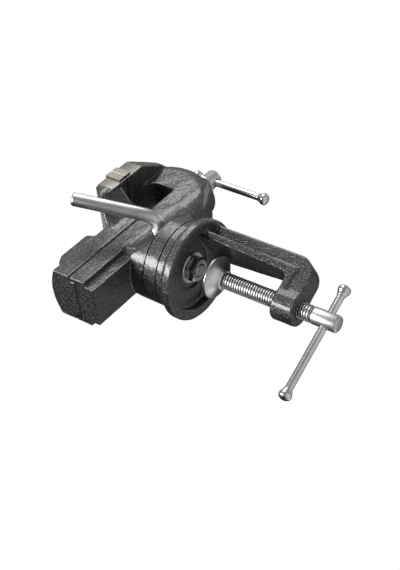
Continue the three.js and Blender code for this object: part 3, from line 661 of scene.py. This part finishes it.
def head_casting():
    turntable = turned([(0, DISC_TOP + GAP), (COLLAR_R - 0.6, DISC_TOP + GAP),
                        (COLLAR_R, DISC_TOP + 0.9), (COLLAR_R, TURNTABLE_TOP), (0, TURNTABLE_TOP)], 160)
    # Round shoulder over the turntable, drawn in at the sides up to the body's width.
    shoulder_side = [(32.4, 22), (32.4, TURNTABLE_TOP + 0.4), (30.4, 27.1), (28, 28), (25, 29.8),
                     (22.4, 33), (20.6, 37), (17, 40)]
    shoulder = meet(rod(COLLAR_R - 0.2, 22, 40, sides=160),
                    pulled(shoulder_side + [(-y, z) for y, z in reversed(shoulder_side)], -40, 40, "YZ"))
    neck = lofted([(-29.5, 31, 27.5, 26, 24.8), (-29, 33, 23.8, 20, 28.5), (-29.5, 37, 21.2, 14, 33),
                   (-30, 42, 19.8, 12, 38), (-29, 44, 19.5, 8, 43), (-27.5, 46, 19.5, 6, 48)], 3, 10)
    keel = brick(REAR_X, 58, -KEEL_HALF, KEEL_HALF, 38, 47)
    rails = brick(REAR_X, 60, -BODY_HALF, BODY_HALF, 46, WAY_Z)
    block = lofted([(22, 50, 15.5, 10, 30), (23, 60, 18, 11, 35), (24, 69, 19.5, 12, 41),
                    (24, 75.5, BODY_HALF, 12, 48), (24, 80, BODY_HALF, 12, 55),
                    (24, 82.4, BODY_HALF, 12, 62), (24, 83, BODY_HALF, 12, 69),
                    (24, 82.2, BODY_HALF, 12, 76), (24, 79, BODY_HALF, 11, 83),
                    (24, 73.5, 19.1, 9, 88)], 4, 8)
    wing_side = [(JAW_X, JAW_LOW), (JAW_X, JAW_TOP), (42.5, JAW_TOP), (44.5, JAW_TOP - 0.8), (58, 93.4),
                 (70, 88.8), (77, JAW_LOW)]
    plan = [(JAW_X, -JAW_HALF), (44, -JAW_HALF), (46, -34.8), (67, -23.5), (74, -16.5), (77, -6)]
    plan += [(x, -y) for x, y in reversed(plan)]
    wings = meet(pulled(wing_side, -60, 60), pulled(plan, JAW_LOW, JAW_TOP + 1, "XY"))
    nose = turned([(0, 58), (19, 58), (19, 74), (18.6, 75), (17.6, 75.6), (12.5, 76), (11, 76.8),
                   (NOSE_R, 78), (NOSE_R, NOSE_X - 1), (NOSE_R - 0.8, NOSE_X), (0, NOSE_X)],
                  128, (0, 0, LEAD_Z), (1, 0, 0))
    throat = pulled([(-14, WAY_Z), (THROAT_B - 1.5, WAY_Z), (THROAT_B, WAY_Z + 1.5)]
                    + arc(THROAT_B - 11, JAW_LOW - 11, 11, 0, 90) + [(-14, JAW_LOW)], -60, 60)
    back = JAW_X + GAP + PLATE_T
    slot = brick(REAR_X - 5, TRENCH_END, -TONGUE_HALF - GAP, TONGUE_HALF + GAP, TONGUE_Z - GAP,
                 WAY_Z + 5)
    slot_mouth = brick(REAR_X - 5, REAR_X + 4, -TONGUE_HALF - 1.2, TONGUE_HALF + 1.2, TONGUE_Z - 1.1,
                       WAY_Z + 5)
    grooves = [washer(COLLAR_R + 3, COLLAR_R - 0.9, z - 0.5, z + 0.5, soft=0.1)
               for z in (RING_Z, TURNTABLE_TOP + 0.2)]
    trench = brick(HOLLOW_REAR, TRENCH_END, -HOLLOW_HALF, HOLLOW_HALF, 49, WAY_Z)
    whole = fuse(turntable, shoulder, neck, keel, rails, block, wings, nose)
    whole = less(soften(less(whole, throat, slot, trench), 0.6, 5), slot_mouth, *grooves)
    seat = fuse(brick(0, back, -60, 60, PLATE_LOW - GAP, JAW_TOP + 5),
                brick(0, JAW_X + 2 * GAP, -60, 60, JAW_LOW - 1, JAW_TOP + 4))
    lock_hole = turned([(0, -2), (LOCK_R + 1, -2), (LOCK_R + 1, 12.6), (LOCK_R - 0.2, 13.6),
                        (STUD_R + GAP, 14.2), (STUD_R + GAP, 24), (0, 24)], 64, LOCK_END, -LOCK_AXIS)
    crown = brick(JAW_X - 30, 42, -60, 60, JAW_TOP - 0.1, JAW_TOP + 5)
    whole = less(whole, seat, *end_trims(JAW_X - 30, 44), crown, rod(BOLT_HEAD_POCKET_R, 30.7, 50),
                 rod(BOLT_R + GAP, 5, 32),
                 rod(SPIGOT_R + GAP, 5, SPIGOT_TOP + GAP, sides=128), rod(60, -5, DISC_TOP + GAP),
                 lock_hole, rod(SCREW_R + GAP, 40, 90, (0, 0, LEAD_Z), (1, 0, 0)),
                 *plate_screw_holes(JAW_X + PLATE_T, 1))
    piece("head_casting", whole, "head", ["head_body"], [PAINT, GROUND], HEAD, 50,
          machined)


def sliding_casting():
    def crown(side, mid, low):
        pts = [(-BODY_HALF, low), (BODY_HALF, low)]
        for i in range(25):
            t = 1 - i / 12
            pts.append((BODY_HALF * t * (1 - 0.03 * (1 - t * t)), side + (mid - side) * (1 - t * t)))
        return pts

    back = pulled(crown(CROWN_SIDE, CROWN_MID, WAY_Z + GAP), REAR_X, THROAT_A, "YZ")
    anvil_side = [(-64, 70), (-61, 76.8), (-56, 79.6), (-51, 82.6), (-46, 83.6), (-35, 83.6),
                  (-30.5, 82.6), (-26.5, 79.5), (-22, 70)]
    anvil = meet(pulled(anvil_side, -60, 60),
                 pulled(crown(ANVIL_SIDE, ANVIL_MID, WAY_Z + 2), -66, -10, "YZ"))
    # Rear face, half width, corner and height of the part that rises to the jaw.
    rise = ((-16, BODY_HALF, 3, 62), (-14, 20.2, 4, 69), (-11, 23.5, 5, 75), (-7.5, 29, 5, 80),
            (-4.5, 33.5, 4, 84), (-1.5, JAW_HALF, 3, 88), (5, JAW_HALF, 2, 94),
            (8.5, JAW_HALF, 1.4, 97.1), (9.5, 35.2, 1, JAW_TOP))
    riser = lofted([(x, THROAT_A, half, r, z) for x, half, r, z in rise], 3, 6)
    lip = brick(6, JAW_X, -JAW_HALF, JAW_HALF, JAW_LOW, JAW_TOP - 1)
    tongue = brick(REAR_X, THROAT_A, -TONGUE_HALF, TONGUE_HALF, TONGUE_Z, WAY_Z + GAP + 1)
    seat_x = JAW_X - PLATE_T - GAP
    whole = fuse(back, anvil, riser, lip, tongue)
    whole = soften(less(whole, brick(THROAT_A, 60, -60, 60, 50, JAW_LOW)), 0.6, 6)
    cavity = brick(HOLLOW_REAR - 0.6, THROAT_A + 5, -HOLLOW_HALF, HOLLOW_HALF, 50, 71.9)
    seat = fuse(brick(seat_x, 60, -60, 60, PLATE_LOW - GAP, JAW_TOP + 5),
                brick(JAW_X - 2 * GAP, 61, -60, 60, JAW_LOW - 2, JAW_TOP + 4))
    whole = less(whole, cavity, seat, *end_trims(10, 60),
                 brick(10, 60, -60, 60, JAW_TOP - 0.1, JAW_TOP + 5), *plate_screw_holes(seat_x, -1))
    piece("sliding_jaw_casting", whole, "slider", ["sliding_jaw"], [PAINT, GROUND],
          HEAD, 50, machined)


def jaw_plate(side):
    """Hardened plate with cross-cut serrations on its gripping face, and its two screws."""
    x0 = JAW_X + GAP if side > 0 else JAW_X - PLATE_T
    face = x0 if side > 0 else x0 + PLATE_T - GAP
    thick = PLATE_T - GAP
    z0, z1, cell = PLATE_LOW, JAW_TOP + 0.4, 0.4
    cut_pitch, cut_depth, cut_half = 1.8, 0.28, 0.22   # serrations; half width as part of the pitch
    ny, nz = round(2 * PLATE_HALF / cell), round((z1 - z0) / cell)

    def point(i, j):
        y, z = -PLATE_HALF + 2 * PLATE_HALF * i / ny, z0 + (z1 - z0) * j / nz
        edge = min(i, j, ny - i, nz - j)
        cutter = min(abs((y + z) / cut_pitch % 1 - 0.5), abs((y - z) / cut_pitch % 1 - 0.5))
        depth = cut_depth * max(0.0, 1 - cutter / cut_half) if edge > 3 else 0.0
        depth = max(depth, 0.3 if edge == 0 else 0.0)
        return (face + side * depth, y, z)

    bm = bmesh.new()
    front = [[bm.verts.new(point(i, j)) for j in range(nz + 1)] for i in range(ny + 1)]
    rear = [[bm.verts.new((face + side * thick, p.co.y, p.co.z)) if i in (0, ny) or j in (0, nz)
             else None for j, p in enumerate(col)] for i, col in enumerate(front)]
    for i in range(ny):
        for j in range(nz):
            bm.faces.new((front[i][j], front[i + 1][j], front[i + 1][j + 1], front[i][j + 1]))
    rim = ([(i, 0) for i in range(ny)] + [(ny, j) for j in range(nz)]
           + [(i, nz) for i in range(ny, 0, -1)] + [(0, j) for j in range(nz, 0, -1)])
    for (i, j), (k, m) in zip(rim, rim[1:] + rim[:1]):
        bm.faces.new((front[i][j], front[k][m], rear[k][m], rear[i][j]))
    bm.faces.new([rear[i][j] for i, j in rim])
    plate = scratch(bm)
    holes = [turned([(0, -1), (4.6, -1), (4.6, 2.4), (PLATE_HOLE_R, 2.8), (PLATE_HOLE_R, 12),
                     (0, 12)], 64, (face, y, PLATE_SCREW_Z), (side, 0, 0)) for y in PLATE_SCREWS]
    who = "fixed" if side > 0 else "sliding"
    body = "head" if side > 0 else "slider"
    piece(f"{who}_plate_serrated", less(plate, *holes), body, [f"{who}_jaw_plate"],
          [GROUND], HEAD, 20)
    for k, y in enumerate(PLATE_SCREWS):
        screw = turned([(0, 0.35), (3.7, 0.35), (4.2, 0.7), (4.2, 2.2), (2.5, 2.5), (2.5, 13), (0, 13)],
                       64, (face, y, PLATE_SCREW_Z), (side, 0, 0))
        slot_x = sorted((face - side, face + side * 1.3))
        screw = less(screw, brick(*slot_x, y - 6, y + 6, PLATE_SCREW_Z - 0.5, PLATE_SCREW_Z + 0.5))
        piece(f"{who}_plate_screw_slotted_{k + 1}", screw, body,
              [f"{who}_plate_screw_{k + 1}"], [DARK], HEAD)


# ------------------------------------------------------------------ the vise

studio()
PAINT = hammered_paint()
BRIGHT = steel("bright_zinc", (0.66, 0.68, 0.7), 0.27)
SATIN = steel("satin_zinc", (0.66, 0.68, 0.69), 0.32)
THREAD = steel("rolled_zinc", (0.62, 0.63, 0.64), 0.4)
GROUND = steel("ground_steel", (0.24, 0.225, 0.205), 0.4, (1, 1, 12), 700.0, 0.3)
DARK = steel("oiled_steel", (0.2, 0.2, 0.205), 0.4)
# Darker steel for the faces down in the threads: painted shade in the roots, the same metal as the
# crests.
PAINTED_ROOT_SHADE = steel("thread_root_painted_shade", (0.2, 0.2, 0.2), 0.5)
NUT = steel("plated_nut", (0.42, 0.43, 0.44), 0.24)

clamp_casting()
swivel_fastening()
clamp_screw()
clamp_pad()
tommy_bar("clamp_bar", "clamp_bar", (0, 0, CLAMP_BAR_Z), CLAMP_BAR_AXIS, CLAMP_REACH)
head_casting()
sliding_casting()
jaw_plate(1)
jaw_plate(-1)
lead_screw()
tommy_bar("lead_bar", "lead_bar", (LEAD_BAR_X, 0, LEAD_Z), (0, 0, 1), LEAD_REACH, HEAD)
lock_handle()
